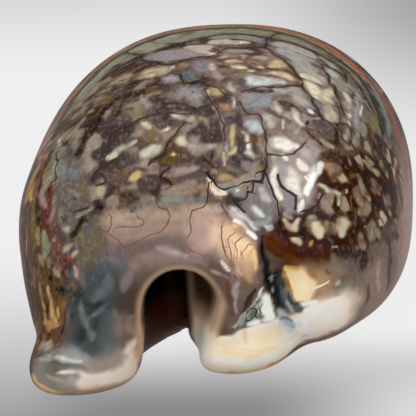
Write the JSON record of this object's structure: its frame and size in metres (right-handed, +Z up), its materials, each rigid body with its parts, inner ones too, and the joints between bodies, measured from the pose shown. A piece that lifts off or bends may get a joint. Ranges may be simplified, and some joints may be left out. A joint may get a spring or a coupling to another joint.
{
  "type": "cowrie shell",
  "caption": "Large glossy humped sea shell, hollow inside, with a toothed slit along its base and a rounded canal at each end.",
  "frame": {"origin": "centre of the bounding box in plan, at the height of the surface that the shell rests on", "axes": "+Y from the rear canal towards the front canal along the slit, +X towards the outer lip side, +Z up from the base to the hump"},
  "size_m": [0.0626, 0.0876, 0.0427],
  "materials": {
    "shell": "naturally polished shell enamel, mottled brown and cream back, beige to grey base callus"
  },
  "bodies": {
    "root": {"shell": "shell"}
  },
  "joints": []
}
